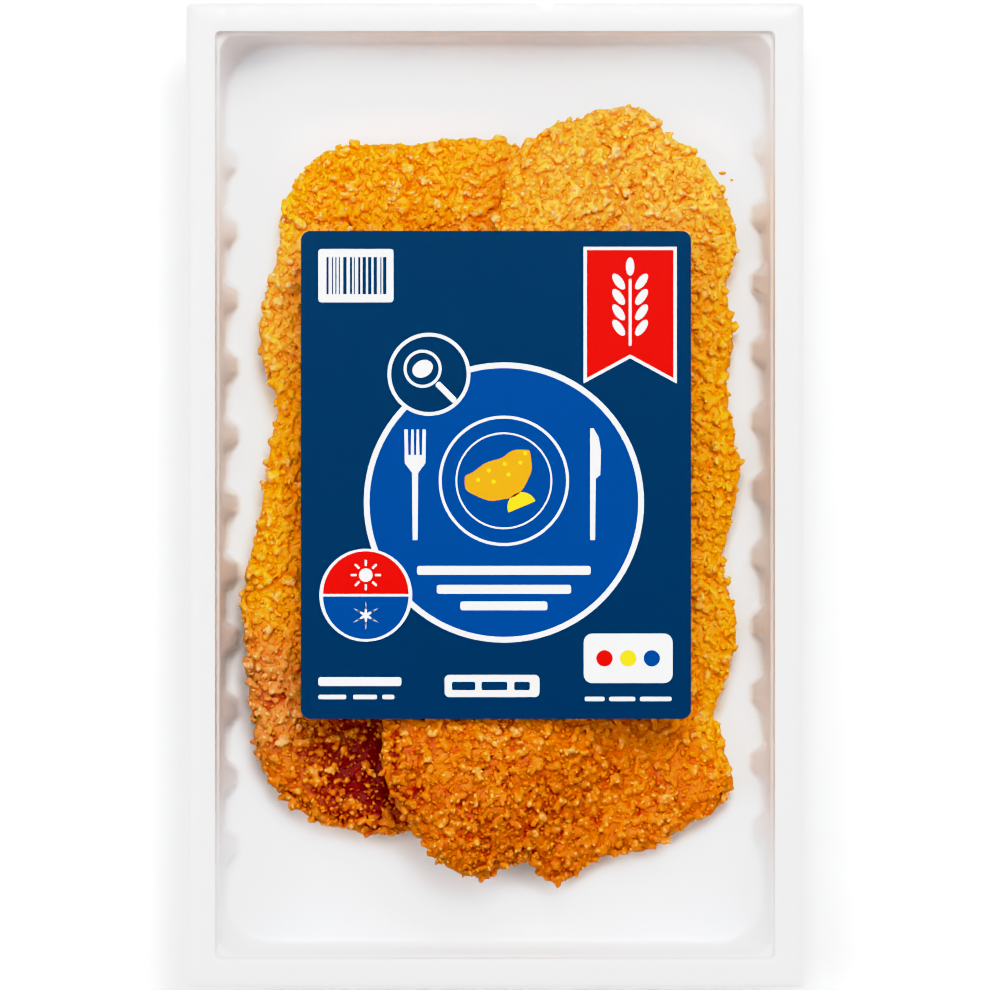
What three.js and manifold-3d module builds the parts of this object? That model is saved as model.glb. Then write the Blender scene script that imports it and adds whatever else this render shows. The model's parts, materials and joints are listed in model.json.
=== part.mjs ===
// A sealed retail tray of two breaded schnitzels: a thermoformed tray with a flat flange and ribbed
// long walls, a clear film sealed over it, a paper label on the film, and the two schnitzels inside,
// the front one leaning on the back one.
// Millimetres, +Z up. The origin is on the ground under the middle of the pack, +Y runs along it.
import * as THREE from "three";
import { mergeVertices } from "three/addons/utils/BufferGeometryUtils.js";
import { ImprovedNoise } from "three/addons/math/ImprovedNoise.js";
import Module from "manifold-3d";

// Driving dimensions
const packWidth = 156.7;
const packLength = 250;
const trayDepth = 28; // underside of the floor to the top of the flange
const sheet = 0.8; // wall of the tray
const flangeWidth = 7.35;
const flangeCorner = 1.2;
const lipHeight = 2.4; // turned-down edge of the flange
const ribPitch = 17.5;
const ribCount = 11; // on each long wall
const ribDepth = 2.8;
const ribFlat = 3.5; // width of a rib's crest
const ribFlank = 3.5; // width of the slope on each side of the crest
const ribShift = 1.9; // right wall's ribs up, left wall's ribs down
const notchWidth = 4.4;
const notchDepth = 1.5;
const notchX = 12.8;
const airGap = 0.15; // between the flange, the film and the label
const filmThickness = 0.2;
const filmMargin = 0.4; // film edge to flange edge
const filmCorner = 1;
const labelWidth = 98.9;
const labelLength = 123.7;
const labelThickness = 0.25;
const labelCorner = 2.4;
const labelX = 0.25;
const labelY = 5.1;
const crustGap = 0.3; // under each schnitzel
const backThickness = 11.5;
const frontThickness = 11;
const rimDepth = 5.5; // how far in from its outline a schnitzel's edge is round
const waveHeight = 1.1; // broad dents of the meat
const waveSize = 24;
const cragHeight = 0.8; // lumps of the crust
const cragSize = 8;
const drapeStart = 5; // how far past the back schnitzel the front one starts to come down
const drapeEnd = 34; // and where it has reached the floor

const mouthHalfWidth = packWidth / 2 - flangeWidth;
const mouthHalfLength = packLength / 2 - flangeWidth;

// Outlines of the two schnitzels seen from above, anticlockwise, as x and y
const frontOutline = [
  [7.6, 89.5],
  [-1, 66],
  [-13, 28],
  [-24, -20],
  [-28.1, -56.8],
  [-27.4, -74],
  [-17.7, -89.5],
  [-6.3, -98.1],
  [8.9, -93.1],
  [13.9, -99.6],
  [30.2, -91.8],
  [39.5, -90.3],
  [46.9, -85.7],
  [60.6, -76.1],
  [58.6, -66],
  [56, -54.5],
  [61.9, -36.5],
  [58.1, -17],
  [62.4, 5.1],
  [59.1, 28.5],
  [61.4, 40.6],
  [59.1, 52],
  [61.4, 66.7],
  [54, 84.9],
  [44.5, 92],
  [36.8, 98.9],
  [17.7, 95.1],
];
const backOutline = [
  [10.5, 84],
  [5, 89.6],
  [-24.1, 90],
  [-39, 89.2],
  [-47.2, 84.7],
  [-52.2, 76.8],
  [-54.3, 66.4],
  [-59.8, 45.1],
  [-58.6, 31.5],
  [-55.5, 23.6],
  [-58.1, 6.3],
  [-64.1, -28.1],
  [-61.6, -55.3],
  [-60.8, -65],
  [-56.9, -73.8],
  [-49.2, -81.3],
  [-42, -84.2],
  [-24.3, -86.2],
  [-11.4, -81.1],
  [6.3, -57],
  [16.5, -26.6],
  [17.7, 3.8],
  [13.9, 41.8],
  [8.9, 72.3],
];

const wasm = await Module();
wasm.setup();

function solidOf(geometry) {
  const bare = new THREE.BufferGeometry();
  bare.setAttribute("position", geometry.getAttribute("position"));
  bare.setIndex(geometry.getIndex());
  const merged = mergeVertices(bare, 1e-4);
  return new wasm.Manifold(
    new wasm.Mesh({
      numProp: 3,
      vertProperties: merged.attributes.position.array,
      triVerts: new Uint32Array(merged.index.array),
    }),
  );
}

function geometryOf(solid) {
  const mesh = solid.getMesh();
  const geometry = new THREE.BufferGeometry();
  geometry.setAttribute(
    "position",
    new THREE.BufferAttribute(mesh.vertProperties, 3),
  );
  geometry.setIndex(new THREE.BufferAttribute(mesh.triVerts, 1));
  geometry.computeVertexNormals();
  return geometry;
}

// Skins a stack of rings of equally many points, lowest first and anticlockwise, and closes both ends.
function loft(rings) {
  const count = rings[0].length;
  const positions = rings.flat().flatMap((point) => point.toArray());
  const index = [];
  for (let ring = 0; ring + 1 < rings.length; ring++)
    for (let i = 0; i < count; i++) {
      const a = ring * count + i;
      const b = ring * count + ((i + 1) % count);
      index.push(a, b, b + count, a, b + count, a + count);
    }
  for (const ring of [0, rings.length - 1]) {
    const centre = positions.length / 3;
    const middle = new THREE.Vector3();
    rings[ring].forEach((point) => middle.addScaledVector(point, 1 / count));
    positions.push(...middle.toArray());
    for (let i = 0; i < count; i++) {
      const a = ring * count + i;
      const b = ring * count + ((i + 1) % count);
      index.push(...(ring === 0 ? [centre, b, a] : [centre, a, b]));
    }
  }
  const geometry = new THREE.BufferGeometry();
  geometry.setAttribute(
    "position",
    new THREE.Float32BufferAttribute(positions, 3),
  );
  geometry.setIndex(index);
  geometry.computeVertexNormals();
  return geometry;
}

// How far a rib stands in at a place along a long wall, from 0 to 1
function ribShare(along) {
  const toCrest = Math.abs(
    THREE.MathUtils.euclideanModulo(along + ribPitch / 2, ribPitch) -
      ribPitch / 2,
  );
  return 1 - THREE.MathUtils.smoothstep(toCrest, ribFlat / 2, ribFlat / 2 + ribFlank);
}

// A round-cornered rectangle at one height, inset from the tray's mouth. Its long sides carry ribs
// where rib is above 0, and ribbed rings all have the same number of points.
function trayRing({ height, inset, corner, rib = 0, ribbed = true }) {
  const halfWidth = mouthHalfWidth - inset;
  const halfLength = mouthHalfLength - inset;
  const arcSteps = 6;
  const points = [];
  const addArc = (signX, signY, startAngle) => {
    for (let step = 0; step <= arcSteps; step++) {
      const angle = startAngle + (step / arcSteps) * (Math.PI / 2);
      points.push(
        new THREE.Vector3(
          signX * (halfWidth - corner) + corner * Math.cos(angle),
          signY * (halfLength - corner) + corner * Math.sin(angle),
          height,
        ),
      );
    }
  };
  const addRibs = (side) => {
    if (!ribbed) return;
    const offsets = [
      -ribFlat / 2 - ribFlank,
      -ribFlat / 2 - ribFlank / 2,
      -ribFlat / 2,
      ribFlat / 2,
      ribFlat / 2 + ribFlank / 2,
      ribFlat / 2 + ribFlank,
    ];
    for (let k = 0; k < ribCount; k++)
      for (const offset of offsets) {
        const along = (k - (ribCount - 1) / 2) * ribPitch + offset;
        const depth = rib * ribDepth * ribShare(along);
        points.push(
          new THREE.Vector3(
            side * (halfWidth - depth),
            side * along + ribShift * side,
            height,
          ),
        );
      }
  };
  addRibs(1);
  addArc(1, 1, 0);
  addArc(-1, 1, Math.PI / 2);
  addRibs(-1);
  addArc(-1, -1, Math.PI);
  addArc(1, -1, (3 * Math.PI) / 2);
  return points;
}

// Inside of the tray's wall from the floor up to just under the mouth: a round foot, a ribbed wall
// with a little draft, and a stacking shoulder
const wallProfile = [
  { height: sheet, inset: 4.5, corner: 9.5, rib: 0.9 },
  { height: 1.5, inset: 2.7, corner: 11.3, rib: 1 },
  { height: 3.3, inset: 2, corner: 12, rib: 1 },
  { height: 14, inset: 1.6, corner: 9, rib: 0.45 },
  { height: 24, inset: 1.1, corner: 4, rib: 0 },
  { height: 25, inset: 0.35, corner: 2, rib: 0 },
];
const mouth = { inset: 0, corner: 1.5, rib: 0 };

function notchCutter() {
  const radius = (notchWidth ** 2 / 4 + notchDepth ** 2) / (2 * notchDepth);
  const centreY = packLength / 2 - notchDepth + radius;
  return { radius, centreY };
}

function makeTray() {
  const outside = loft([
    ...wallProfile.map((ring) =>
      trayRing({
        ...ring,
        height: ring.height - sheet,
        inset: ring.inset - sheet,
        corner: ring.corner + sheet,
      }),
    ),
    trayRing({
      ...mouth,
      height: trayDepth - sheet / 2,
      inset: -sheet,
      corner: mouth.corner + sheet,
    }),
  ]);
  const inside = loft([
    ...wallProfile.map(trayRing),
    trayRing({ ...mouth, height: trayDepth }),
    trayRing({ ...mouth, height: trayDepth + 1 }),
  ]);
  const flangeRing = (height, fromEdge) =>
    trayRing({
      height,
      inset: fromEdge - flangeWidth,
      corner: flangeCorner,
      ribbed: false,
    });
  const flangeOutside = loft([
    flangeRing(trayDepth - lipHeight, 0),
    flangeRing(trayDepth - 1.2, 0),
    flangeRing(trayDepth - 0.5, 0.25),
    flangeRing(trayDepth - 0.15, 0.8),
    flangeRing(trayDepth, 1.8),
  ]);
  const flangeHollow = loft([
    flangeRing(trayDepth - lipHeight - 1, sheet),
    flangeRing(trayDepth - 1.4, sheet),
    flangeRing(trayDepth - sheet, sheet + 0.7),
  ]);
  const { radius, centreY } = notchCutter();
  const notch = new THREE.CylinderGeometry(radius, radius, 4 * lipHeight, 24);
  notch.rotateX(Math.PI / 2);
  notch.translate(notchX, centreY, trayDepth);
  return geometryOf(
    solidOf(flangeOutside)
      .subtract(solidOf(flangeHollow))
      .add(solidOf(outside))
      .subtract(solidOf(inside))
      .subtract(solidOf(notch)),
  );
}

// Outline of a flat sheet with round corners, centred on x and y
function sheetShape(width, length, corner, x, y) {
  const shape = new THREE.Shape();
  const right = x + width / 2 - corner;
  const left = x - width / 2 + corner;
  const top = y + length / 2 - corner;
  const bottom = y - length / 2 + corner;
  shape.absarc(right, bottom, corner, -Math.PI / 2, 0);
  shape.absarc(right, top, corner, 0, Math.PI / 2);
  return { shape, left, top, bottom, corner };
}

function closeSheet({ shape, left, top, bottom, corner }) {
  shape.absarc(left, top, corner, Math.PI / 2, Math.PI);
  shape.absarc(left, bottom, corner, Math.PI, (3 * Math.PI) / 2);
  return shape;
}

function layFlat(shape, thickness, height) {
  const geometry = new THREE.ExtrudeGeometry(shape, {
    depth: thickness,
    bevelEnabled: false,
    curveSegments: 6,
  });
  return geometry.translate(0, 0, height);
}

// The film covers the flange out to its edge and shares its notch
function makeFilm() {
  const outline = sheetShape(
    packWidth - 2 * filmMargin,
    packLength - 2 * filmMargin,
    filmCorner,
    0,
    0,
  );
  const { radius, centreY } = notchCutter();
  const edge = packLength / 2 - filmMargin;
  const halfChord = Math.acos((centreY - edge) / radius);
  outline.shape.absarc(
    notchX,
    centreY,
    radius,
    -Math.PI / 2 + halfChord,
    -Math.PI / 2 - halfChord,
    true,
  );
  return layFlat(closeSheet(outline), filmThickness, trayDepth + airGap);
}

function makeLabel() {
  const outline = sheetShape(
    labelWidth,
    labelLength,
    labelCorner,
    labelX,
    labelY,
  );
  return layFlat(
    closeSheet(outline),
    labelThickness,
    trayDepth + filmThickness + 2 * airGap,
  );
}

// A smooth closed line through an outline's points
function outlinePoints(outline, count) {
  const curve = new THREE.CatmullRomCurve3(
    outline.map(([x, y]) => new THREE.Vector3(x, y, 0)),
    true,
    "centripetal",
  );
  return curve.getSpacedPoints(count).slice(0, count);
}

const noise = new ImprovedNoise();

// Height of the crust's relief at a place: broad dents with lumps on them, different for each seed
function relief(x, y, seed) {
  const waves = noise.noise(x / waveSize, y / waveSize, seed);
  const crags = noise.noise(x / cragSize, y / cragSize, seed + 7.5);
  const fine = noise.noise((2 * x) / cragSize, (2 * y) / cragSize, seed + 3.5);
  return waveHeight * waves + cragHeight * (crags + 0.5 * fine);
}

// A breaded cutlet: rings run out along the underside, round the edge and back in over the top.
// base gives the height that the underside lies at.
function schnitzel({ outline, thickness, base, seed }) {
  const around = 112;
  const edge = outlinePoints(outline, around);
  const middle = new THREE.Vector3();
  edge.forEach((point) => middle.addScaledVector(point, 1 / around));
  const ring = (inward, share, heightShare) =>
    edge.map((point) => {
      const arm = point.clone().sub(middle);
      const reach = arm.length();
      const rough = noise.noise(point.x / cragSize, point.y / cragSize, seed);
      const out =
        (reach - rimDepth * inward) * share + cragHeight * rough * share;
      const place = middle.clone().addScaledVector(arm, out / reach);
      const bumps = relief(place.x, place.y, seed) * heightShare;
      place.z = base(place.x, place.y) + thickness * heightShare + bumps;
      return place;
    });
  const underside = [0.2, 0.45, 0.68, 0.86].map((share) => ring(1, share, 0));
  const rim = [-75, -45, -15, 15, 45, 70].map((degrees) => {
    const angle = THREE.MathUtils.degToRad(degrees);
    return ring(1 - Math.cos(angle), 1, 0.5 + 0.5 * Math.sin(angle));
  });
  const top = [0.94, 0.85, 0.74, 0.62, 0.49, 0.36, 0.23, 0.1].map((share) =>
    ring(1, share, 1),
  );
  return loft([...underside, ...rim, ...top]);
}

// How far a place lies outside an outline, or 0 inside it
function distanceOutside(edge, x, y) {
  let inside = false;
  let nearest = Infinity;
  edge.forEach((a, i) => {
    const b = edge[(i + 1) % edge.length];
    if (a.y > y !== b.y > y && x < a.x + ((y - a.y) / (b.y - a.y)) * (b.x - a.x))
      inside = !inside;
    const alongX = b.x - a.x;
    const alongY = b.y - a.y;
    const share = THREE.MathUtils.clamp(
      ((x - a.x) * alongX + (y - a.y) * alongY) / (alongX ** 2 + alongY ** 2),
      0,
      1,
    );
    nearest = Math.min(
      nearest,
      Math.hypot(x - a.x - share * alongX, y - a.y - share * alongY),
    );
  });
  return inside ? 0 : nearest;
}

const floorHeight = sheet + crustGap;

function makeBackSchnitzel() {
  return schnitzel({
    outline: backOutline,
    thickness: backThickness,
    base: () => floorHeight,
    seed: 0.5,
  });
}

// The front schnitzel lies on the back one, clear of its highest lumps, and drapes down to the floor
function makeFrontSchnitzel() {
  const backEdge = outlinePoints(backOutline, 60);
  const lift = backThickness + 1.1 * (waveHeight + cragHeight) + crustGap;
  return schnitzel({
    outline: frontOutline,
    thickness: frontThickness,
    base: (x, y) => {
      const away = distanceOutside(backEdge, x, y);
      const raised =
        1 - THREE.MathUtils.smoothstep(away, drapeStart, drapeEnd);
      return floorHeight + lift * raised;
    },
    seed: 11.5,
  });
}

function piece(name, geometry, material) {
  const mesh = new THREE.Mesh(
    geometry,
    new THREE.MeshStandardMaterial(material),
  );
  mesh.name = name;
  return mesh;
}

const crust = { color: 0xe2902f, roughness: 0.75, metalness: 0 };
const pack = new THREE.Group();
pack.add(
  piece("tray", makeTray(), { color: 0xebebed, roughness: 0.2, metalness: 0 }),
  piece("lid_film", makeFilm(), {
    color: 0xf4f6f8,
    roughness: 0.05,
    metalness: 0,
    transparent: true,
    opacity: 0.15,
  }),
  piece("label", makeLabel(), { color: 0x003563, roughness: 0.5, metalness: 0 }),
  piece("schnitzel_back", makeBackSchnitzel(), crust),
  piece("schnitzel_front", makeFrontSchnitzel(), crust),
);

export default pack;
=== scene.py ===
import json
import math
import random

import bmesh
import bpy
from mathutils import Matrix, Vector

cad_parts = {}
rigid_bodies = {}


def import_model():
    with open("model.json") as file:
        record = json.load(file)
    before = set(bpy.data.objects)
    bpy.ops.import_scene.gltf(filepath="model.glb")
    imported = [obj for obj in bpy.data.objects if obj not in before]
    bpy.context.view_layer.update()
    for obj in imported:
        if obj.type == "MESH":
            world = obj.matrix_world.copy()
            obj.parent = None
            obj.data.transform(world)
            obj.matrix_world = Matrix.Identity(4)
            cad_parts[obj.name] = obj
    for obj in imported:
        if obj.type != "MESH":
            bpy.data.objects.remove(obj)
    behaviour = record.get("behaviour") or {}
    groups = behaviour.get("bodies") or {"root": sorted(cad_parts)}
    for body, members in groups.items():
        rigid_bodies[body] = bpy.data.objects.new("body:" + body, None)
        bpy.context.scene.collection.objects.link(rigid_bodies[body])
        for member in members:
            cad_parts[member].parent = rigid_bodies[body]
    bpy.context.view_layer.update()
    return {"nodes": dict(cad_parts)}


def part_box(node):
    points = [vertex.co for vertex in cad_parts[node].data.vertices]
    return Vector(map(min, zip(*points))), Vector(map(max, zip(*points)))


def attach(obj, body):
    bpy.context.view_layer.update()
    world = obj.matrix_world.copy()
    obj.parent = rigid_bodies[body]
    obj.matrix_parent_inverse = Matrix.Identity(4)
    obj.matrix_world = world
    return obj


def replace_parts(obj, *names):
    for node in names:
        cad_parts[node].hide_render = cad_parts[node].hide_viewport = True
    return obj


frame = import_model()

# A sealed tray pack of two breaded schnitzels, seen from straight above. Metres, +Z up.
# The file goes from the outside of the tray inwards and then up: tray, cutlets, film, label, studio.
MM = 0.001


# Tray
# Thermoformed from one satin white sheet: a flat floor with a round foot, ribbed long walls with a
# stacking shoulder, and a flange that bows down to a turned edge with one small notch in it.
class Socket:
    """One output of a node. Python's operators on it add maths nodes to its tree."""

    def __init__(self, graph, socket):
        self.graph, self.socket = graph, socket

    def maths(self, operation, first, second):
        return self.graph.node("ShaderNodeMath", {"operation": operation}, {0: first, 1: second})

    def __add__(self, other):
        return self.maths("ADD", self, other)

    def __radd__(self, other):
        return self.maths("ADD", other, self)

    def __sub__(self, other):
        return self.maths("SUBTRACT", self, other)

    def __rsub__(self, other):
        return self.maths("SUBTRACT", other, self)

    def __mul__(self, other):
        return self.maths("MULTIPLY", self, other)

    def __rmul__(self, other):
        return self.maths("MULTIPLY", other, self)

    def __pow__(self, other):
        return self.maths("POWER", self, other)

    def between(self, low, high):
        """0 at low and 1 at high, with a smooth step from one to the other."""
        settings = {"interpolation_type": "SMOOTHSTEP"}
        return self.graph.node("ShaderNodeMapRange", settings, {0: self, 1: low, 2: high})

    def __abs__(self):
        return self.maths("ABSOLUTE", self, 0)

    def at_least(self, low):
        return self.maths("MAXIMUM", self, low)

    def at_most(self, high):
        return self.maths("MINIMUM", self, high)

    def also(self, output):
        """Another output of the same node."""
        return Socket(self.graph, self.socket.node.outputs[output])


class Graph:
    """A node tree that is written as expressions."""

    def __init__(self, tree):
        self.tree = tree
        tree.nodes.clear()

    def node(self, kind, settings, inputs, output=0):
        """Adds one node: its settings first, then the values or links of its sockets."""
        node = self.tree.nodes.new(kind)
        for name, value in settings.items():
            setattr(node, name, value)
        for key, value in inputs.items():
            named = [s for s in node.inputs if s.enabled and s.name == key]
            socket = named[0] if named else node.inputs[key]
            for part in value if isinstance(value, list) else [value]:
                if isinstance(part, Socket):
                    self.tree.links.new(part.socket, socket)
                else:
                    socket.default_value = part
        if output is None:
            return None
        shown = [s for s in node.outputs if s.enabled and s.name == output]
        return Socket(self, shown[0] if shown else node.outputs[output])

    def part(self, vector, axis):
        """The X, Y or Z of a vector."""
        return self.node("ShaderNodeSeparateXYZ", {}, {"Vector": vector}, axis)

    def vector(self, operation, *values):
        """Vector maths, with the values in the order of the node's sockets."""
        return self.node("ShaderNodeVectorMath", {"operation": operation}, dict(enumerate(values)))

    def mix(self, share, first, second):
        """Blends two colours."""
        colours = {"Factor": share, "A": first, "B": second}
        return self.node("ShaderNodeMix", {"data_type": "RGBA"}, colours, "Result")

    def noise(self, place, size, detail=2.0, roughness=0.5):
        """Soft noise with features of about a size in metres, from 0 to 1."""
        inputs = {"Vector": place, "Scale": 1 / size, "Detail": detail, "Roughness": roughness}
        return self.node("ShaderNodeTexNoise", {}, inputs)

    def bump(self, height, distance):
        """A normal for a relief whose height of 1 stands for a distance in metres."""
        return self.node("ShaderNodeBump", {}, {"Height": height, "Distance": distance})


def display(red, green, blue):
    """A colour as a screen shows it, 0 to 255, in the linear values that shaders take."""
    def linear(part):
        part = part / 255
        return part / 12.92 if part <= 0.04045 else ((part + 0.055) / 1.055) ** 2.4

    return linear(red), linear(green), linear(blue)


def new_material(name):
    """A material, its empty graph and the place of a point in it."""
    material = bpy.data.materials.new(name)
    material.use_nodes = True
    graph = Graph(material.node_tree)
    place = graph.node("ShaderNodeTexCoord", {}, {}, "Object")
    return material, graph, place


def finish_material(graph, shader):
    graph.node("ShaderNodeOutputMaterial", {}, {"Surface": shader}, None)


def new_piece(name, shape, material):
    """A piece of the pack from a bmesh, which it frees."""
    mesh = bpy.data.meshes.new(name)
    shape.to_mesh(mesh)
    shape.free()
    return place_piece(name, mesh, material)


def place_piece(name, mesh, material):
    """A mesh object that rides on the pack."""
    mesh.materials.clear()
    mesh.materials.append(material)
    piece = bpy.data.objects.new(name, mesh)
    bpy.context.scene.collection.objects.link(piece)
    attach(piece, "root")
    return piece


def apply_modifiers(piece):
    """Makes what a piece's modifiers show its own mesh."""
    shown = piece.evaluated_get(bpy.context.evaluated_depsgraph_get())
    mesh = bpy.data.meshes.new_from_object(shown)
    piece.modifiers.clear()
    piece.data = mesh


def shade_smooth(piece, angle=math.radians(35)):
    """Smooth faces with crisp edges where they meet at more than an angle."""
    piece.data.shade_smooth()
    piece.data.set_sharp_from_angle(angle=angle)


tray_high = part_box("tray")[1]
flange_top = tray_high.z
sheet = 0.8 * MM
flange_width = 7.35 * MM
flange_corner = 1.2 * MM
lip_height = 2.3 * MM
mouth = Vector((tray_high.x - flange_width, tray_high.y - flange_width))
rib_pitch = 17.5 * MM
rib_reach = 96 * MM
rib_depth = 2.8 * MM
rib_shift = 1.9 * MM
rib_crest = 1.75 * MM
rib_flank = 3.5 * MM
notch_x = 12.8 * MM
notch_radius = 2.36 * MM
notch_depth = 1.5 * MM


def smoothstep(value, low, high):
    share = min(max((value - low) / (high - low), 0), 1)
    return share * share * (3 - 2 * share)


def rib_share(along):
    """How far a rib stands in at a place along a long wall, from 0 to 1."""
    from_crest = abs((along + rib_pitch / 2) % rib_pitch - rib_pitch / 2)
    inside = abs(along) < rib_reach + rib_crest
    return inside * (1 - smoothstep(from_crest, rib_crest, rib_crest + rib_flank))


def tray_ring(height, inset, corner, rib=0.0):
    """A round-cornered rectangle around the tray's mouth, anticlockwise, with ribs on its long sides."""
    arc_steps, rib_steps = 10, 176
    half = mouth - Vector((inset, inset))
    points = []
    for turn, (side_x, side_y) in enumerate(((1, 1), (-1, 1), (-1, -1), (1, -1))):
        if turn % 2 == 0:
            for step in range(rib_steps + 1):
                along = rib_reach * (2 * step / rib_steps - 1)
                x = side_x * (half.x - rib * rib_depth * rib_share(along))
                points.append(Vector((x, side_x * (along + rib_shift * (rib > 0)), height)))
        for step in range(arc_steps + 1):
            angle = (turn + step / arc_steps) * math.pi / 2
            x = side_x * (half.x - corner) + corner * math.cos(angle)
            y = side_y * (half.y - corner) + corner * math.sin(angle)
            points.append(Vector((x, y, height)))
    return points


def loft(shape, rings):
    """Skins rings of equally many points, in order, and returns the edges of the first ring."""
    verts = [shape.verts.new(point) for point in rings[0]]
    first = edges = [shape.edges.new(pair) for pair in zip(verts, verts[1:] + verts[:1])]
    order = {tuple(vert.co): step for step, vert in enumerate(verts)}
    for ring in rings[1:]:
        grown = bmesh.ops.extrude_edge_only(shape, edges=edges)["geom"]
        verts = [part for part in grown if isinstance(part, bmesh.types.BMVert)]
        edges = [part for part in grown if isinstance(part, bmesh.types.BMEdge)]
        steps = [order[tuple(vert.co)] for vert in verts]
        for vert, step in zip(verts, steps):
            vert.co = ring[step]
        order = {tuple(vert.co): step for vert, step in zip(verts, steps)}
    return first


def skin(rings):
    """A sheet through rings, closed by a flat face in the first ring, whose normal points up."""
    shape = bmesh.new()
    middle = bmesh.ops.contextual_create(shape, geom=loft(shape, rings))["faces"][0]
    bmesh.ops.recalc_face_normals(shape, faces=shape.faces)
    middle.normal_update()
    if middle.normal.z < 0:
        bmesh.ops.reverse_faces(shape, faces=shape.faces)
    return shape


def bowed_rings(top, bow):
    """Rings of the flange from its inner side outwards, for a sheet whose flat part is at a top."""
    return [tray_ring(top - drop * MM, from_edge * MM - flange_width, flange_corner)
            for from_edge, drop in reversed(bow)]


def cut_notch(piece):
    """Cuts the small round notch in the edge of the flange through a piece."""
    cutter = bmesh.new()
    centre = Vector((notch_x, tray_high.y - notch_depth + notch_radius, flange_top))
    bmesh.ops.create_cone(cutter, cap_ends=True, segments=32, radius1=notch_radius,
                          radius2=notch_radius, depth=20 * MM, matrix=Matrix.Translation(centre))
    mesh = bpy.data.meshes.new("notch cutter")
    cutter.to_mesh(mesh)
    cutter.free()
    knife = bpy.data.objects.new("notch_cutter", mesh)
    bpy.context.scene.collection.objects.link(knife)
    cut = piece.modifiers.new("notch", "BOOLEAN")
    cut.operation, cut.object = "DIFFERENCE", knife
    apply_modifiers(piece)
    bpy.data.objects.remove(knife)


# Distance in from the flange's outer edge, and drop below its highest level, in millimetres
flange_bow = ((0.0, 1.6), (0.25, 1.05), (0.8, 0.62), (1.6, 0.36), (2.6, 0.16), (3.8, 0.04), (5.0, 0.0))

# Inside of the wall: height, inset from the mouth and corner radius in millimetres, and rib share
wall = (
    (0.8, 6.5, 8.0, 0.75), (0.8, 4.6, 9.5, 0.85), (0.92, 3.7, 10.3, 0.93), (1.25, 3.0, 11.0, 0.98),
    (1.8, 2.5, 11.5, 1.0), (2.5, 2.2, 11.8, 1.0), (3.4, 2.0, 12.0, 1.0), (6.0, 1.9, 11.4, 0.9),
    (9.5, 1.78, 10.4, 0.7), (13.0, 1.65, 9.3, 0.48), (17.0, 1.48, 7.5, 0.24), (20.5, 1.3, 5.8, 0.07),
    (23.3, 1.15, 4.4, 0.0), (24.0, 1.05, 4.0, 0.0), (24.5, 0.78, 3.0, 0.0), (24.9, 0.48, 2.4, 0.0),
    (25.5, 0.34, 2.0, 0.0), (27.2, 0.06, 1.6, 0.0), (27.75, -0.02, 1.5, 0.0), (27.93, -0.12, 1.5, 0.0),
    (28.0, -0.35, 1.5, 0.0),
)


def make_tray_shape():
    rings = [tray_ring(height * MM, inset * MM, corner * MM, rib) for height, inset, corner, rib in wall]
    rings += bowed_rings(flange_top, flange_bow)
    rings.append(tray_ring(flange_top - lip_height, -flange_width, flange_corner))
    return skin(rings)


def make_tray_plastic():
    """White plastic with faint flow marks, bluer below its flange as a painted tint that offsets the orange
    light the crust bounces onto the walls and floor.
    """
    material, graph, place = new_material("tray plastic")
    flow = graph.noise(place, 9 * MM, 3)
    peel = graph.noise(place, 1.4 * MM, 1)
    tone = graph.noise(place, 45 * MM, 2)
    white = graph.mix(tone, (0.86, 0.864, 0.87, 1), (0.875, 0.875, 0.88, 1))
    height = graph.part(place, "Z")
    # painted tint: bluer below the flange to offset the orange light that the crust bounces onto the walls
    # and floor
    white = graph.mix(height.between(22 * MM, 27 * MM), (0.855, 0.87, 0.895, 1), white)
    shader = graph.node("ShaderNodeBsdfPrincipled", {}, {
        "Base Color": white,
        "Roughness": 0.36 + 0.1 * flow,
        "Normal": graph.bump(0.7 * flow + 0.3 * peel, 0.05 * MM),
        "IOR": 1.5,
    })
    finish_material(graph, shader)
    return material


tray = new_piece("moulded_tray", make_tray_shape(), make_tray_plastic())
wall_thickness = tray.modifiers.new("wall", "SOLIDIFY")
wall_thickness.thickness, wall_thickness.offset = sheet, -1
wall_thickness.use_even_offset = True
apply_modifiers(tray)
cut_notch(tray)
shade_smooth(tray)
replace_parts(tray, "tray")


# Schnitzels
# Two flat cutlets in batter and coarse dry crumbs, fried until golden: the crumbs have grown together
# into clumps, with deep red gaps between them where the batter shows, darkened further as painted shade.
# The front one lies over the back one's edge and droops to the tray's floor.
label_low, label_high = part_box("label")
label_middle = (label_low + label_high) / 2
film_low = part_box("lid_film")[0]
batter_grid, coat_grid = 0.85 * MM, 0.5 * MM
under_film = film_low.z - 0.2 * MM
over_floor = sheet + 0.1 * MM
seam_spot = (-33, -70, 12)  # millimetres, where the front schnitzel's side leaves wide gaps on the back one
rng = random.Random(31)


def new_steps(name):
    """Geometry nodes for one piece: their graph and the mesh that comes in."""
    tree = bpy.data.node_groups.new(name, "GeometryNodeTree")
    for way in ("INPUT", "OUTPUT"):
        tree.interface.new_socket("Geometry", in_out=way, socket_type="NodeSocketGeometry")
    graph = Graph(tree)
    return graph, graph.node("NodeGroupInput", {}, {}, "Geometry")


def run_steps(piece, graph, geometry):
    """Gives a piece the mesh that a graph makes of its own."""
    graph.node("NodeGroupOutput", {}, {"Geometry": geometry}, None)
    steps = piece.modifiers.new("steps", "NODES")
    steps.node_group = graph.tree
    apply_modifiers(piece)


def distance(graph, place, spot):
    """How far a place is from a spot that is given in millimetres."""
    spot = tuple(part * MM for part in spot)
    return graph.node("ShaderNodeVectorMath", {"operation": "DISTANCE"}, {0: place, 1: spot}, "Value")


def near(graph, place, spot, full, none):
    """1 up to a first distance from a spot and 0 from a second one on, all in millimetres."""
    return 1 - distance(graph, place, spot).between(full * MM, none * MM)


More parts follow.
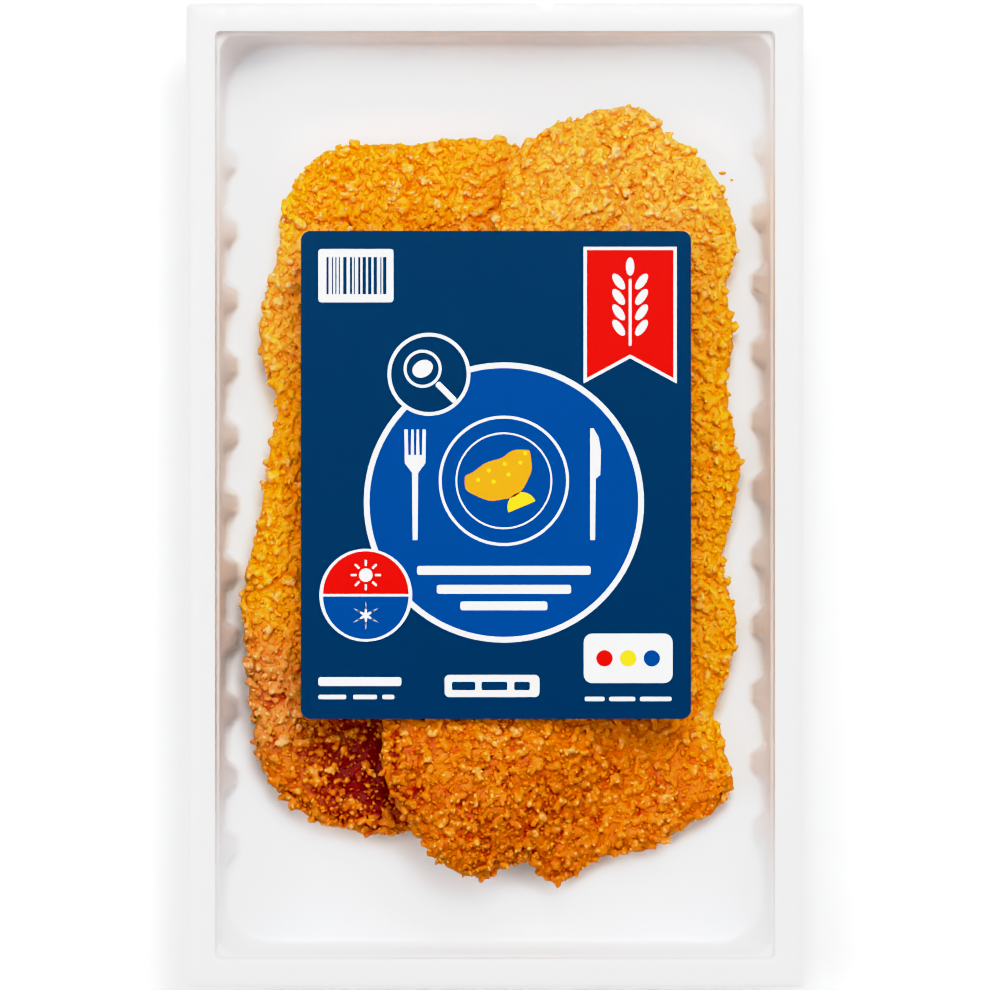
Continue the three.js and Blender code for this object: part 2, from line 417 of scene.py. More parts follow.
def moved_along(graph, place, normal, reach):
    """A place that is moved along a normal."""
    offset = graph.node("ShaderNodeVectorMath", {"operation": "SCALE"}, {0: normal, "Scale": reach})
    return graph.vector("ADD", place, offset)


def grains(graph, place, size, least):
    """The height of round grains of a size, each at most 1 and at least a least height."""
    edge = graph.node("ShaderNodeTexVoronoi", {}, {"Vector": place, "Scale": 1 / size}, "Distance")
    chance = graph.part(edge.also("Color"), "X")
    dome = (1 - 2.1 * edge * edge).at_least(0) ** 0.6
    return dome * (least + (1 - least) * chance)


def beside_label(graph, place):
    """0 under the label and 1 where the crust shows beside it."""
    reach = (label_high - label_low) / 2
    away = graph.vector("ABSOLUTE", graph.vector("SUBTRACT", place, label_middle))
    past_side = graph.part(away, "X") - reach.x
    past_end = graph.part(away, "Y") - reach.y
    return past_side.at_least(past_end).between(-4 * MM, -1 * MM)


def clumped(graph, place):
    """1 where crumbs cover the batter and low in the gaps, which are wider at -Y and at the seam."""
    patch = graph.noise(place, 6 * MM, 2, 0.6)
    off_seam = distance(graph, place, seam_spot).between(8 * MM, 26 * MM)
    cover = patch + 0.1 * graph.part(place, "Y").between(-80 * MM, 30 * MM) + 0.14 * (off_seam - 1)
    least = 0.26 + 0.04 * off_seam
    return least + (1 - least) * cover.between(0.3, 0.42)


def pressed(graph, place):
    """A place that is kept over the tray's floor and under the film."""
    across = graph.part(place, "X")
    level = across.also("Z").at_least(over_floor).at_most(under_film)
    return graph.node("ShaderNodeCombineXYZ", {}, {"X": across, "Y": across.also("Y"), "Z": level})


def store(graph, geometry, name, value):
    """Keeps a value of each point for the materials, under a name."""
    return graph.node("GeometryNodeStoreNamedAttribute", {"data_type": "FLOAT"},
                      {"Geometry": geometry, "Name": name, "Value": value})


def random_vector(graph, low, high, seed):
    """A vector for each crumb, with each part between its low and its high."""
    return graph.node("FunctionNodeRandomValue", {"data_type": "FLOAT_VECTOR"},
                      {"Min": low, "Max": high, "Seed": seed}, "Value")


def make_batter_shape(piece):
    """Turns a schnitzel's plain solid into wavy batter with low lumps and pits."""
    remesh = piece.modifiers.new("even grid", "REMESH")
    remesh.mode, remesh.voxel_size = "VOXEL", batter_grid
    smooth = piece.modifiers.new("soft", "SMOOTH")
    smooth.factor, smooth.iterations = 0.5, 4
    apply_modifiers(piece)

    graph, crust = new_steps("batter relief")
    place = graph.node("GeometryNodeInputPosition", {}, {})
    normal = graph.node("GeometryNodeInputNormal", {}, {})
    swirl = graph.node("ShaderNodeTexNoise", {}, {"Vector": place, "Scale": 1 / (5 * MM)}, "Color")
    swirled = graph.vector("MULTIPLY_ADD", swirl, (1.8 * MM,) * 3, place)
    waves = graph.noise(place, 9 * MM, 2)
    pits = graph.noise(place, 6 * MM, 2, 0.6).between(0.53, 0.7)
    rise = grains(graph, swirled, 4.6 * MM, 0.25) + 0.6 * grains(graph, swirled, 2.5 * MM, 0.35)
    rise = rise + 1.3 * waves - 1.0 * pits
    facing_up = graph.part(normal, "Z")
    above = facing_up.between(-0.7, 0)
    rim = 1 - facing_up.between(0.2, 0.7)
    # the solid is the crust's outside: the batter lies a few millimetres under it, and less at the rim
    sink = (rise - 2.3 + 1.2 * rim) * (0.3 + 0.7 * above) * MM
    moved = moved_along(graph, place, normal, sink)
    crust = store(graph, crust, "rise", 0.16 * rise - 0.1 + 0.35 * rim)
    crust = graph.node("GeometryNodeSetPosition", {}, {
        "Geometry": crust, "Position": pressed(graph, moved),
    })
    run_steps(piece, graph, crust)


def make_crumb_kinds(name, count, points, size):
    """A hidden collection of crumbs: hulls of a few points in a ball that is squeezed to a size."""
    kinds = bpy.data.collections.new(name)
    for number in range(count):
        shape = bmesh.new()
        for _ in range(points):
            spot = Vector([rng.gauss(0, 1) for _ in range(3)]).normalized() * rng.uniform(0.75, 1)
            shape.verts.new([part * reach / 2 for part, reach in zip(spot, size)])
        hull = bmesh.ops.convex_hull(shape, input=shape.verts)
        bmesh.ops.delete(shape, geom=hull["geom_interior"], context="VERTS")
        bmesh.ops.recalc_face_normals(shape, faces=shape.faces)
        mesh = bpy.data.meshes.new(f"{name} {number}")
        shape.to_mesh(mesh)
        shape.free()
        mesh.materials.append(crust_material)
        mesh.shade_smooth()
        # painted light and shade: each crumb is lighter towards its top and darker at its base, where shade
        # falls
        tip = mesh.attributes.new("tip", "FLOAT", "POINT")
        for vert in mesh.vertices:
            tip.data[vert.index].value = 0.15 + 0.9 * vert.co.z / size[2]
        kinds.objects.link(bpy.data.objects.new(mesh.name, mesh))
    return kinds


def strew(graph, ground, share, kinds, spacing, lift, tilt, seed, steep=0.1):
    """Crumbs on a ground, no closer than a spacing, each lifted, turned and stretched at random.

    They thin out where the ground's normal points up by less than steep + 0.4, and end at steep.
    """
    place = graph.node("GeometryNodeInputPosition", {}, {})
    normal = graph.node("GeometryNodeInputNormal", {}, {})
    share = share * graph.part(normal, "Z").between(steep, steep + 0.4) * beside_label(graph, place)
    tries = 6 / spacing ** 2  # points a square metre, more than find room
    points = graph.node("GeometryNodeDistributePointsOnFaces", {"distribute_method": "POISSON"}, {
        "Mesh": ground, "Distance Min": spacing, "Density Max": tries,
        "Density Factor": share, "Seed": seed,
    }, "Points")
    turn = random_vector(graph, (-tilt, -tilt, 0), (tilt, tilt, 2 * math.pi), seed + 1)
    turn = graph.node("FunctionNodeEulerToRotation", {}, {"Euler": turn})
    turned = graph.node("FunctionNodeRotateRotation", {"rotation_space": "LOCAL"},
                        {"Rotation": points.also("Rotation"), "Rotate By": turn})
    stretch = random_vector(graph, (0.62, 0.62, 0.7), (1.25, 1.25, 1.2), seed + 2)
    crumb = graph.node("GeometryNodeCollectionInfo", {}, {
        "Collection": kinds, "Separate Children": True, "Reset Children": True,
    })
    crumbs = graph.node("GeometryNodeInstanceOnPoints", {}, {
        "Points": points, "Instance": crumb, "Pick Instance": True, "Rotation": turned,
        "Scale": stretch,
    })
    rise = random_vector(graph, (0, 0, lift[0]), (0, 0, lift[1]), seed + 3)
    crumbs = graph.node("GeometryNodeTranslateInstances", {}, {
        "Instances": crumbs, "Translation": rise, "Local Space": True,
    })
    return graph.node("GeometryNodeRealizeInstances", {}, {"Geometry": crumbs})


def make_coat(name, batter, seed):
    """The coat on a cutlet: lumps and flakes of crumb that have grown together."""
    coat = place_piece(name, batter.data.copy(), crust_material)
    graph, ground = new_steps(name)
    share = clumped(graph, graph.node("GeometryNodeInputPosition", {}, {}))
    crumbs = [
        strew(graph, ground, share, lump_kinds, 2.3 * MM, (-0.4 * MM, 0.9 * MM), 0.9, seed),
        strew(graph, ground, share, flake_kinds, 4.6 * MM, (0.1 * MM, 0.9 * MM), 0.5, seed + 10),
    ]
    run_steps(coat, graph, graph.node("GeometryNodeJoinGeometry", {}, {"Geometry": crumbs}))
    fuse = coat.modifiers.new("grown together", "REMESH")
    fuse.mode, fuse.voxel_size, fuse.use_smooth_shade = "VOXEL", coat_grid, True
    soft = coat.modifiers.new("soft", "SMOOTH")
    soft.factor, soft.iterations = 0.5, 1
    apply_modifiers(coat)

    graph, crust = new_steps("coat height")
    place = graph.node("GeometryNodeInputPosition", {}, {})
    under = graph.node("GeometryNodeObjectInfo", {}, {"Object": batter}, "Geometry")
    height = graph.node("GeometryNodeProximity", {"target_element": "FACES"}, {0: under}, "Distance")
    knobs = grains(graph, place, 1.5 * MM, 0.2)
    crust = store(graph, crust, "rise", height * (1 / (2.3 * MM)) + 0.35 * knobs - 0.1)
    normal = graph.node("GeometryNodeInputNormal", {}, {})
    moved = moved_along(graph, place, normal, 0.45 * MM * knobs)
    crust = graph.node("GeometryNodeSetPosition", {}, {
        "Geometry": crust, "Position": pressed(graph, moved),
    })
    run_steps(coat, graph, crust)
    coat.data.materials.clear()
    coat.data.materials.append(crust_material)
    return coat


def strew_grains(name, batter, coat, seed):
    """Single grains of crumb on top of the coat and in its gaps."""
    piece = place_piece(name, coat.data.copy(), crust_material)
    graph, ground = new_steps(name)
    place = graph.node("GeometryNodeInputPosition", {}, {})
    room = 1 - graph.part(place, "Z").between(under_film - 0.8 * MM, under_film - 0.6 * MM)
    under = graph.node("GeometryNodeObjectInfo", {}, {"Object": batter}, "Geometry")
    crumbs = [
        strew(graph, ground, room, grain_kinds, 1.5 * MM, (-0.4 * MM, 0.2 * MM), 1.0, seed, 0.2),
        strew(graph, under, room, grain_kinds, 1.5 * MM, (-0.1 * MM, 0.5 * MM), 1.2, seed + 10, 0.2),
    ]
    run_steps(piece, graph, graph.node("GeometryNodeJoinGeometry", {}, {"Geometry": crumbs}))


def make_crust_material():
    """Red-brown gaps that get darker the lower they lie, partly painted shade, golden crumbs and pale tips
    that are partly a painted highlight. Yellower at +Y and more toasted at -Y.

    Other tones are lighter at the long sides beside the label, a painted light for the shade that falls
    there, peach and pale in patches, and deep red at the seam, partly a painted shadow of the front
    schnitzel on the back one.
    """
    material, graph, place = new_material("fried crumb crust")
    rise = graph.node("ShaderNodeAttribute", {"attribute_name": "rise"}, {}, "Fac")
    tip = graph.node("ShaderNodeAttribute", {"attribute_name": "tip"}, {}, "Fac")
    patch = graph.noise(place, 16 * MM, 3)
    smoke = graph.noise(place, 8 * MM, 3, 0.6)
    tone = graph.noise(place, 2 * MM, 2)
    speck = graph.noise(place, 0.9 * MM, 2)
    grit = graph.noise(place, 0.35 * MM, 1)
    side = graph.part(place, "X")
    along = side.also("Y") + 0.25 * side
    toasted = 1 - (along + (patch - 0.5) * 50 * MM).between(-90 * MM, -20 * MM)
    # painted light: lighter colours on the long sides beside the label, where the label and the tray's
    # walls shade the crust
    painted_side_light = abs(side).between(46 * MM, 54 * MM) * along.between(-62 * MM, -40 * MM)
    peach = near(graph, place, (38, 82, 20), 15, 55).at_least(near(graph, place, (-56, 50, 12), 8, 28))
    pale = near(graph, place, (-63, -50, 12), 8, 24)
    # partly painted shadow: deep red where the front schnitzel shades the back one at the seam, over real
    # wide gaps there
    seam = near(graph, place, seam_spot, 5, 25)
    gap_colour_and_shade = graph.mix(toasted, (0.82, 0.2, 0.001, 1), (0.42, 0.02, 0.003, 1))
    gap_colour_and_shade = graph.mix(0.8 * painted_side_light, gap_colour_and_shade, (1.0, 0.34, 0.01, 1))
    gap_colour_and_shade = graph.mix(seam, gap_colour_and_shade, (0.25, 0.004, 0.008, 1))
    golden = graph.mix(toasted, (0.98, 0.365, 0.004, 1), (0.63, 0.215, 0.002, 1))
    golden = graph.mix(0.8 * painted_side_light, golden, (1.0, 0.45, 0.015, 1))
    golden = graph.mix(0.7 * peach, golden, (1.0, 0.46, 0.09, 1))
    golden = graph.mix(0.6 * pale, golden, (0.78, 0.38, 0.13, 1))
    pale_tips_and_highlight = graph.mix(toasted, (1.0, 0.50, 0.2, 1), (0.95, 0.45, 0.12, 1))
    pale_tips_and_highlight = graph.mix(0.8 * painted_side_light, pale_tips_and_highlight, (1.0, 0.52, 0.14, 1))
    pale_tips_and_highlight = graph.mix(0.8 * peach, pale_tips_and_highlight, (1.0, 0.55, 0.3, 1))
    pale_tips_and_highlight = graph.mix(0.8 * pale, pale_tips_and_highlight, (0.95, 0.62, 0.36, 1))
    # the lower a point lies, the more it takes the gap colour: partly the batter's own red-brown, partly
    # painted shade in the crevices; the highest points take the pale tip colour, partly a painted highlight
    level = rise + tip + 0.35 * (speck - 0.5) + 0.35 * (tone - 0.5) + 0.7 * (smoke - 0.5)
    colour = graph.mix((level - 0.35 * seam - 0.1 * toasted).between(-0.3, 0.16), gap_colour_and_shade, golden)
    colour = graph.mix(level.between(0.45, 0.95), colour, pale_tips_and_highlight)
    shader = graph.node("ShaderNodeBsdfPrincipled", {}, {
        "Base Color": colour,
        "Roughness": 0.34 + 0.3 * speck,
        "Normal": graph.bump(0.6 * speck + 0.4 * grit, 0.14 * MM),
        "Specular IOR Level": 0.35,
        "Subsurface Weight": 0.5,
        "Subsurface Radius": (1.0, 0.35, 0.08),
        "Subsurface Scale": 1.0 * MM,
    })
    finish_material(graph, shader)
    return material


crust_material = make_crust_material()
grain_kinds = make_crumb_kinds("grain", 12, 14, (1.8 * MM, 1.5 * MM, 1.3 * MM))
lump_kinds = make_crumb_kinds("lump", 10, 16, (3.4 * MM, 2.9 * MM, 2.4 * MM))
flake_kinds = make_crumb_kinds("flake", 8, 20, (4.7 * MM, 3.7 * MM, 2.0 * MM))

for side, seed in (("back", 100), ("front", 200)):
    solid = bmesh.new()
    solid.from_mesh(frame["nodes"][f"schnitzel_{side}"].data)
    bmesh.ops.remove_doubles(solid, verts=solid.verts, dist=0.001 * MM)
    batter = new_piece(f"{side}_schnitzel", solid, crust_material)
    make_batter_shape(batter)
    batter.data.shade_smooth()
    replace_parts(batter, f"schnitzel_{side}")
    coat = make_coat(f"{side}_crumb_coat", batter, seed)
    strew_grains(f"{side}_grains", batter, coat, seed + 20)

# two crumbs that have come off and lie on the tray's floor: place and size in millimetres
fallen = (((58.2, 82.4), (1.9, 0.9, 0.7)), ((60.6, 80.6), (0.8, 0.7, 0.5)))
loose = bmesh.new()
for middle, size in fallen:
    verts = bmesh.ops.create_icosphere(loose, subdivisions=2, radius=MM / 2)["verts"]
    for vert in verts:
        vert.co *= rng.uniform(0.8, 1.1)
    bmesh.ops.scale(loose, verts=verts, vec=size)
    lowest = min(vert.co.z for vert in verts)
    bmesh.ops.translate(loose, verts=verts, vec=(middle[0] * MM, middle[1] * MM, sheet - lowest))
loose_crumbs = new_piece("loose_crumbs", loose, crust_material)
loose_crumbs.data.shade_smooth()

for kinds in (grain_kinds, lump_kinds, flake_kinds):
    for kind in list(kinds.objects):
        bpy.data.objects.remove(kind)
    bpy.data.collections.remove(kinds)


# Film
# A clear lidding film, sealed flat to the flange all round and cut with the tray, so it bows down with
# the flange and has the same notch.
film_thickness = 0.1 * MM
film_bow = ((0.4, 0.9),) + flange_bow[2:]


def make_film_material():
    """Clear plastic that mirrors more the more it is seen from the side."""
    material, graph, place = new_material("clear lidding film")
    drape = graph.noise(place, 30 * MM, 2)
    normal = graph.bump(drape, 0.25 * MM)
    clear = graph.node("ShaderNodeBsdfTransparent", {}, {"Color": (0.985, 0.985, 0.985, 1)})
    gloss = graph.node("ShaderNodeBsdfPrincipled", {}, {
        "Base Color": (0, 0, 0, 1), "Roughness": 0.05, "Normal": normal,
    })
    facing = graph.node("ShaderNodeLayerWeight", {}, {"Blend": 0.5, "Normal": normal}, "Facing")
    shine = 0.035 + 0.96 * facing ** 5
    finish_material(graph, graph.node("ShaderNodeMixShader", {}, {0: shine, 1: clear, 2: gloss}))
    return material


film_shape = skin(bowed_rings(film_low.z, film_bow))
film = new_piece("clear_film", film_shape, make_film_material())
film_sheet = film.modifiers.new("sheet", "SOLIDIFY")
film_sheet.thickness, film_sheet.offset = film_thickness, 1
apply_modifiers(film)
cut_notch(film)
shade_smooth(film)
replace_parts(film, "lid_film")


# Label
# A satin paper label with round corners, stuck flat on the film. Its print is flat inks: each ink lies
# a little above the one that was printed before it. Layer 0 is the paper. Sizes are in millimetres.
glue = 0.03 * MM
print_room = 0.2 * MM
paper_low = film_low.z + film_thickness + glue
paper_high = label_high.z - print_room
label_corner = 2.4
ink_height = 0.038 * MM
studio_gain = 1.22  # how much brighter than its own colour a flat ink renders


def stamp(shape, verts, layer, middle, turn=0.0):
    """Turns and places a flat face around the origin and gives it the height of a layer of print."""
    low = paper_high + (layer - 1) * ink_height if layer else paper_low
    high = paper_high + layer * ink_height
    spot = label_middle + Vector((middle[0], middle[1], 0)) * MM
    matrix = Matrix.Translation((spot.x, spot.y, low)) @ Matrix.Rotation(turn, 4, "Z")
    bmesh.ops.transform(shape, verts=verts, matrix=matrix)
    faces = list(dict.fromkeys(face for vert in verts for face in vert.link_faces))
    lift = bmesh.ops.extrude_face_region(shape, geom=faces)["geom"]
    raised = [part for part in lift if isinstance(part, bmesh.types.BMVert)]
    bmesh.ops.translate(shape, verts=raised, vec=(0, 0, high - low))


def print_panel(shape, layer, middle, width, height, corner=0.0, turn=0.0):
    """A rectangle, in millimetres from the middle of the label. A corner of half its height is round."""
    verts = bmesh.ops.create_grid(shape, x_segments=1, y_segments=1, size=0.5 * MM)["verts"]
    bmesh.ops.scale(shape, verts=verts, vec=(width, height, 1))
    if corner:
        verts = bmesh.ops.bevel(shape, geom=verts, offset=corner * MM, affect="VERTICES",
                                segments=8, profile=0.5, material=-1)["verts"]
    stamp(shape, verts, layer, middle, turn)


def print_disc(shape, layer, middle, width, height=None, turn=0.0):
    """A disc or an ellipse."""
    height = height or width
    segments = 24 if width < 8 else 96
    verts = bmesh.ops.create_circle(shape, cap_ends=True, segments=segments, radius=MM / 2)["verts"]
    bmesh.ops.scale(shape, verts=verts, vec=(width, height, 1))
    stamp(shape, verts, layer, middle, turn)


def print_ring(shape, layer, middle, outer, inner):
    """A ring from its outer and inner width."""
    rims = [bmesh.ops.create_circle(shape, segments=96, radius=width * MM / 2)["verts"]
            for width in (outer, inner)]
    edges = list(dict.fromkeys(edge for rim in rims for vert in rim for edge in vert.link_edges))
    bmesh.ops.bridge_loops(shape, edges=edges)
    stamp(shape, rims[0] + rims[1], layer, middle)


def print_outline(shape, layer, middle, points, turn=0.0):
    """A shape from its corners, anticlockwise."""
    verts = [shape.verts.new((x * MM, y * MM, 0)) for x, y in points]
    shape.faces.new(verts)
    stamp(shape, verts, layer, middle, turn)


def print_half_disc(shape, layer, middle, width, turn=0.0):
    """The half of a disc on its +Y side."""
    verts = bmesh.ops.create_circle(shape, cap_ends=True, segments=96, radius=width * MM / 2)["verts"]
    geom = verts + verts[0].link_faces[:] + [edge for vert in verts for edge in vert.link_edges]
    cut = bmesh.ops.bisect_plane(shape, geom=list(dict.fromkeys(geom)), dist=0.001 * MM, plane_co=(0, 0, 0),
                                 plane_no=(0, 1, 0), clear_inner=True)["geom"]
    verts = [part for part in cut if isinstance(part, bmesh.types.BMVert)]
    stamp(shape, verts, layer, middle, turn)


def print_star(shape, layer, middle, tips, outer, inner):
    """A star with a number of tips, from its width at the tips and between them."""
    verts = bmesh.ops.create_circle(shape, cap_ends=True, segments=2 * tips, radius=MM)["verts"]
    for step, vert in enumerate(verts):
        vert.co *= (outer if step % 2 == 0 else inner) / 2
    stamp(shape, verts, layer, middle)


def around(middle, reach, turn):
    """The place at a distance and a turn from another."""
    return middle[0] + reach * math.cos(turn), middle[1] + reach * math.sin(turn)


def make_ink(name, colour):
    """A satin ink of a linear colour, a little cloudy."""
    material, graph, place = new_material(name)
    fleck = graph.noise(place, 1.5 * MM, 2)
    cloud = graph.noise(place, 25 * MM, 2)
    deep, light = ((*(part * gain for part in colour), 1) for gain in (1, 1.04))
    shader = graph.node("ShaderNodeBsdfPrincipled", {}, {
        "Base Color": graph.mix(cloud, deep, light),
        "Roughness": 0.24 + 0.03 * fleck,
        "Normal": graph.bump(fleck, 0.0015 * MM),
        "Specular IOR Level": 0.35,
    })
    finish_material(graph, shader)
    return material


def printed(name, shape, colour):
    """Makes a piece of everything that is printed in one colour. The colour is as a screen shows it."""
    bmesh.ops.recalc_face_normals(shape, faces=shape.faces)
    unlit = [part / studio_gain for part in display(*colour)]
    piece = new_piece(name, shape, make_ink(name.replace("_", " "), unlit))
    shade_smooth(piece)
    return piece


navy_colour = (2, 61, 99)
paper = bmesh.new()
label_size = (label_high - label_low) / MM
print_panel(paper, 0, (0, 0), label_size.x, label_size.y, label_corner)
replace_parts(printed("paper_label", paper, navy_colour), "label")

disc_middle, disc_width = (2, -7), 71
plate_middle = (2, -1.5)
badge_middle, badge_width = (-17, 25.5), 21
roundel_middle, roundel_width = (-33, -30.5), 23.5
ribbon_top = (34, 57)
ribbon = ((-11, 0), (-11, -32.5), (0, -26.5), (11, -32.5), (11, 0))
code_middle, code_size = (-35.5, 50.5), (19, 13.5)
dots_middle, dots_size = (33.5, -46.5), (22.5, 12.5)
dot_width, dot_step = 4.2, 6
weight_middle, weight_size = (-1, -53.5), (24, 5.6)
white_rim = 1.8  # what a white disc is wider than the colour on it
half_shift = 0.3  # how far each half of the roundel is from its middle

blue = bmesh.new()
print_disc(blue, 1, disc_middle, disc_width)
lower_middle = around(roundel_middle, half_shift, -math.pi / 2)
print_half_disc(blue, 4, lower_middle, roundel_width - white_rim, math.pi)
print_disc(blue, 2, around(dots_middle, dot_step, 0), dot_width)
printed("blue_ink", blue, (0, 78, 146))

white = bmesh.new()
print_ring(white, 2, disc_middle, disc_width, disc_width - 2.8)
print_outline(white, 1, (ribbon_top[0], ribbon_top[1] + 0.8),
              ((-11.8, 0), (-11.8, -34.6), (0, -28.2), (11.8, -34.6), (11.8, 0)))
print_disc(white, 3, roundel_middle, roundel_width)
print_disc(white, 3, badge_middle, badge_width)
# plate, fork and knife
print_ring(white, 2, plate_middle, 33, 31.6)
print_ring(white, 2, plate_middle, 24.5, 23.7)
fork = ((-0.6, -15), (0.6, -15), (0.75, 2), (2.6, 4.5), (2.7, 13), (1.9, 13), (1.75, 6.5), (1.1, 6.5),
        (0.95, 13), (0.4, 13), (0.3, 6.5), (-0.3, 6.5), (-0.4, 13), (-0.95, 13), (-1.1, 6.5),
        (-1.75, 6.5), (-1.9, 13), (-2.7, 13), (-2.6, 4.5), (-0.75, 2))
knife = ((-0.6, -15), (0.6, -15), (0.75, 0.5), (1.9, 1.5), (2.1, 7.5), (1.5, 11), (0.2, 13.3),
         (-0.6, 13.3))
cutlery_reach = 22.5
print_outline(white, 2, around(plate_middle, cutlery_reach, math.pi), fork)
print_outline(white, 2, around(plate_middle, cutlery_reach, 0), knife)
for y, width in ((-24.2, 44), (-29, 34), (-33.2, 22)):
    print_panel(white, 2, (disc_middle[0], y), width, 2.2, 0.6)
# an ear of wheat on the ribbon
print_panel(white, 3, (ribbon_top[0], ribbon_top[1] - 15.8), 0.7, 17, 0.3)
print_disc(white, 3, (ribbon_top[0], ribbon_top[1] - 4.2), 2.1, 4.6)
for row in range(4):
    for side in (-1, 1):
        spot = (ribbon_top[0] + side * 2.9, ribbon_top[1] - 8 - 3.9 * row)
        print_disc(white, 3, spot, 2.1, 4.7, -side * 0.62)
# a pan on the badge
pan_middle = (badge_middle[0] - 1.6, badge_middle[1] + 1.4)
print_ring(white, 5, pan_middle, 9.6, 8.2)
print_disc(white, 5, pan_middle, 5.4, 4.2, 0.5)
print_panel(white, 5, around(pan_middle, 8.4, -math.pi / 4), 6.6, 1.5, 0.6, -math.pi / 4)
# sun over snowflake
sun_middle = around(roundel_middle, 5.1, math.pi / 2)
print_disc(white, 5, sun_middle, 3.4)
for step in range(8):
    turn = step * math.pi / 4
    print_panel(white, 5, around(sun_middle, 3.1, turn), 1.5, 0.55, 0.2, turn)
flake_middle = around(roundel_middle, 5.1, -math.pi / 2)
print_star(white, 5, flake_middle, 6, 7.4, 1.3)
for step in range(6):
    turn = math.pi / 6 + step * math.pi / 3
    print_panel(white, 5, around(flake_middle, 2.1, turn), 1.0, 0.4, 0.15, turn)
# fields and lines of small print
print_panel(white, 1, code_middle, *code_size, 0.8)
print_panel(white, 1, dots_middle, *dots_size, 2.2)
print_panel(white, 1, weight_middle, *weight_size, 1.2)
print_panel(white, 1, (-34.5, -52.4), 21, 2.2, 0.6)
for x, width in ((-41.5, 7), (-33.2, 6), (-27.3, 3)):
    print_panel(white, 1, (x, -56.3), width, 1.1, 0.4)
for x, width in ((25, 5), (32, 6.6), (40.5, 8)):
    print_panel(white, 1, (x, -56.8), width, 1.1, 0.4)
printed("white_ink", white, (250, 250, 251))

red = bmesh.new()
print_outline(red, 2, ribbon_top, ribbon)
upper_middle = around(roundel_middle, half_shift, math.pi / 2)
print_half_disc(red, 4, upper_middle, roundel_width - white_rim)
print_disc(red, 2, around(dots_middle, dot_step, math.pi), dot_width)
printed("red_ink", red, (228, 27, 19))

navy = bmesh.new()
print_disc(navy, 4, badge_middle, badge_width - white_rim)
code_margin = 2
left = code_middle[0] - code_size[0] / 2 + code_margin
while left < code_middle[0] + code_size[0] / 2 - code_margin:
    width = rng.choice((0.35, 0.35, 0.6, 0.9))
    print_panel(navy, 2, (left + width / 2, code_middle[1]), width, code_size[1] - 2 * code_margin)
    left += width + rng.choice((0.35, 0.5, 0.8))
for x, width in ((-7.2, 6), (0.6, 6.6), (7.6, 4)):
    print_panel(navy, 2, (weight_middle[0] + x, weight_middle[1]), width, 2.2, 0.5)
printed("navy_ink", navy, navy_colour)

gold = bmesh.new()
cutlet = [(9.3 * math.cos(turn) + 0.3 * math.sin(5 * turn),
           5.2 * math.sin(turn) + 1.3 * math.cos(2 * turn) + 0.3 * math.cos(7 * turn))
          for turn in (step * math.pi / 24 for step in range(48))]
print_outline(gold, 2, (plate_middle[0] - 1, plate_middle[1] + 1.6), cutlet, 0.45)
printed("gold_ink", gold, (243, 160, 38))

yellow = bmesh.new()
print_disc(yellow, 2, dots_middle, dot_width)
print_half_disc(yellow, 2, (plate_middle[0] + 4.6, plate_middle[1] - 6.6), 7.4, 0.4)
for x, y in ((-6.5, -1.2), (-3.8, 1.2), (-2.6, -1.6), (0.2, 2.9), (1.2, 0.2), (4.2, 3.2), (5.4, 5.6)):
    print_disc(yellow, 3, (plate_middle[0] + x, plate_middle[1] + y + 1.4), 1.0)
printed("yellow_ink", yellow, (252, 206, 48))


# Studio
# A pale floor under plain soft light, and the camera straight above the pack.
floor_reach = 6
floor_shape = bmesh.new()
bmesh.ops.create_grid(floor_shape, x_segments=8, y_segments=8, size=floor_reach)
floor_mesh = bpy.data.meshes.new("studio_floor")
floor_shape.to_mesh(floor_mesh)
floor_shape.free()
floor_material, graph, place = new_material("studio floor")
floor_tone = graph.mix(graph.noise(place, 0.4, 1), (0.98, 0.98, 0.982, 1), (0.99, 0.99, 0.99, 1))
finish_material(graph, graph.node("ShaderNodeBsdfPrincipled", {}, {
    "Base Color": floor_tone, "Roughness": 0.8,
}))
floor_mesh.materials.append(floor_material)
studio_floor = bpy.data.objects.new("studio_floor", floor_mesh)
bpy.context.scene.collection.objects.link(studio_floor)


light_reach = 1.8


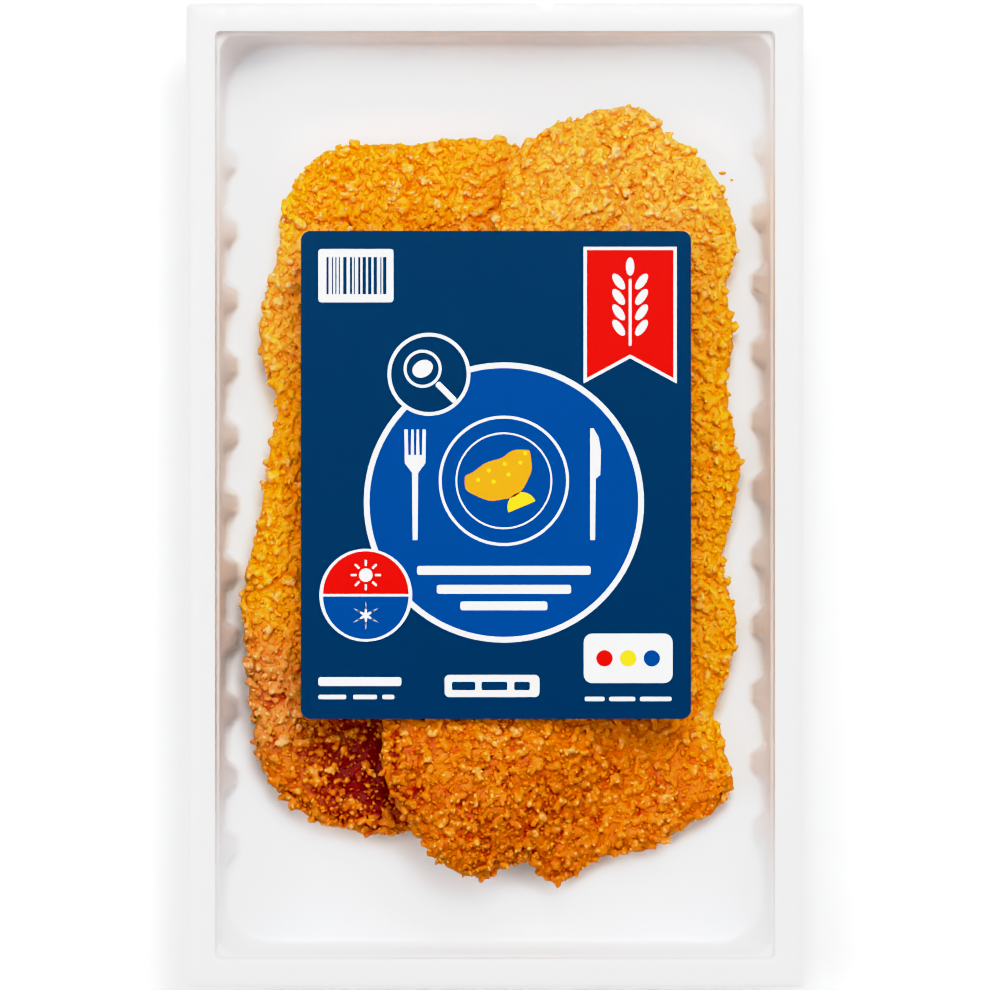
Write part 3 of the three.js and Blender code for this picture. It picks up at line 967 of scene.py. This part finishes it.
def softbox(name, azimuth, elevation, size, power):
    """A square soft light that faces the pack. Azimuth 0 is on the +Y side and 90 on the +X side."""
    light = bpy.data.lights.new(name, "AREA")
    light.shape, light.size, light.energy = "SQUARE", size, power
    bearing, up = math.radians(azimuth), math.radians(elevation)
    away = Vector((math.sin(bearing) * math.cos(up), math.cos(bearing) * math.cos(up), math.sin(up)))
    box = bpy.data.objects.new(name, light)
    box.location = away * light_reach
    box.rotation_euler = away.to_track_quat("Z", "Y").to_euler()
    bpy.context.scene.collection.objects.link(box)


softbox("key", 12, 60, 0.9, 18.5)
softbox("fill_right", 84, 62, 1.0, 4)
softbox("fill_left", -92, 62, 1.0, 9)

# a white world with a dark patch straight overhead, for the film and the label to mirror
world = bpy.data.worlds.new("studio world")
bpy.context.scene.world = world
world.use_nodes = True
graph = Graph(world.node_tree)
way = graph.node("ShaderNodeTexCoord", {}, {}, "Generated")
overhead = graph.part(way, "Z").between(0.965, 0.99)
sky = graph.mix(overhead, (1, 1, 1, 1), (0.02, 0.02, 0.02, 1))
background = graph.node("ShaderNodeBackground", {}, {"Color": sky, "Strength": 0.36})
graph.node("ShaderNodeOutputWorld", {}, {"Surface": background}, None)

camera_data = bpy.data.cameras.new("camera")
camera = bpy.data.objects.new("camera", camera_data)
bpy.context.scene.collection.objects.link(camera)
bpy.context.scene.camera = camera
camera_height = 3.0
field = 0.251  # width of the picture at the flange, in metres
camera_data.lens = camera_data.sensor_width * camera_height / field
camera.location = (0, 0, flange_top + camera_height)

scene = bpy.context.scene
scene.view_settings.view_transform = "Standard"
scene.view_settings.use_curve_mapping = True
tone_curve = scene.view_settings.curve_mapping.curves[3]
tones = ((0.015, 0.001), (0.08, 0.07), (0.2, 0.235), (0.32, 0.44), (0.42, 0.63), (0.52, 0.77),
         (0.64, 0.84), (0.8, 0.872), (0.9, 0.93))
for light, shown in tones:
    tone_curve.points.new(light, shown)
scene.view_settings.curve_mapping.update()
scene.cycles.use_denoising = True
scene.cycles.sample_clamp_indirect = 4
scene.cycles.use_adaptive_sampling = True
scene.cycles.adaptive_threshold = 0.1
scene.cycles.adaptive_min_samples = 8
scene.cycles.max_bounces = 4
scene.cycles.diffuse_bounces = 3
scene.cycles.glossy_bounces = 2
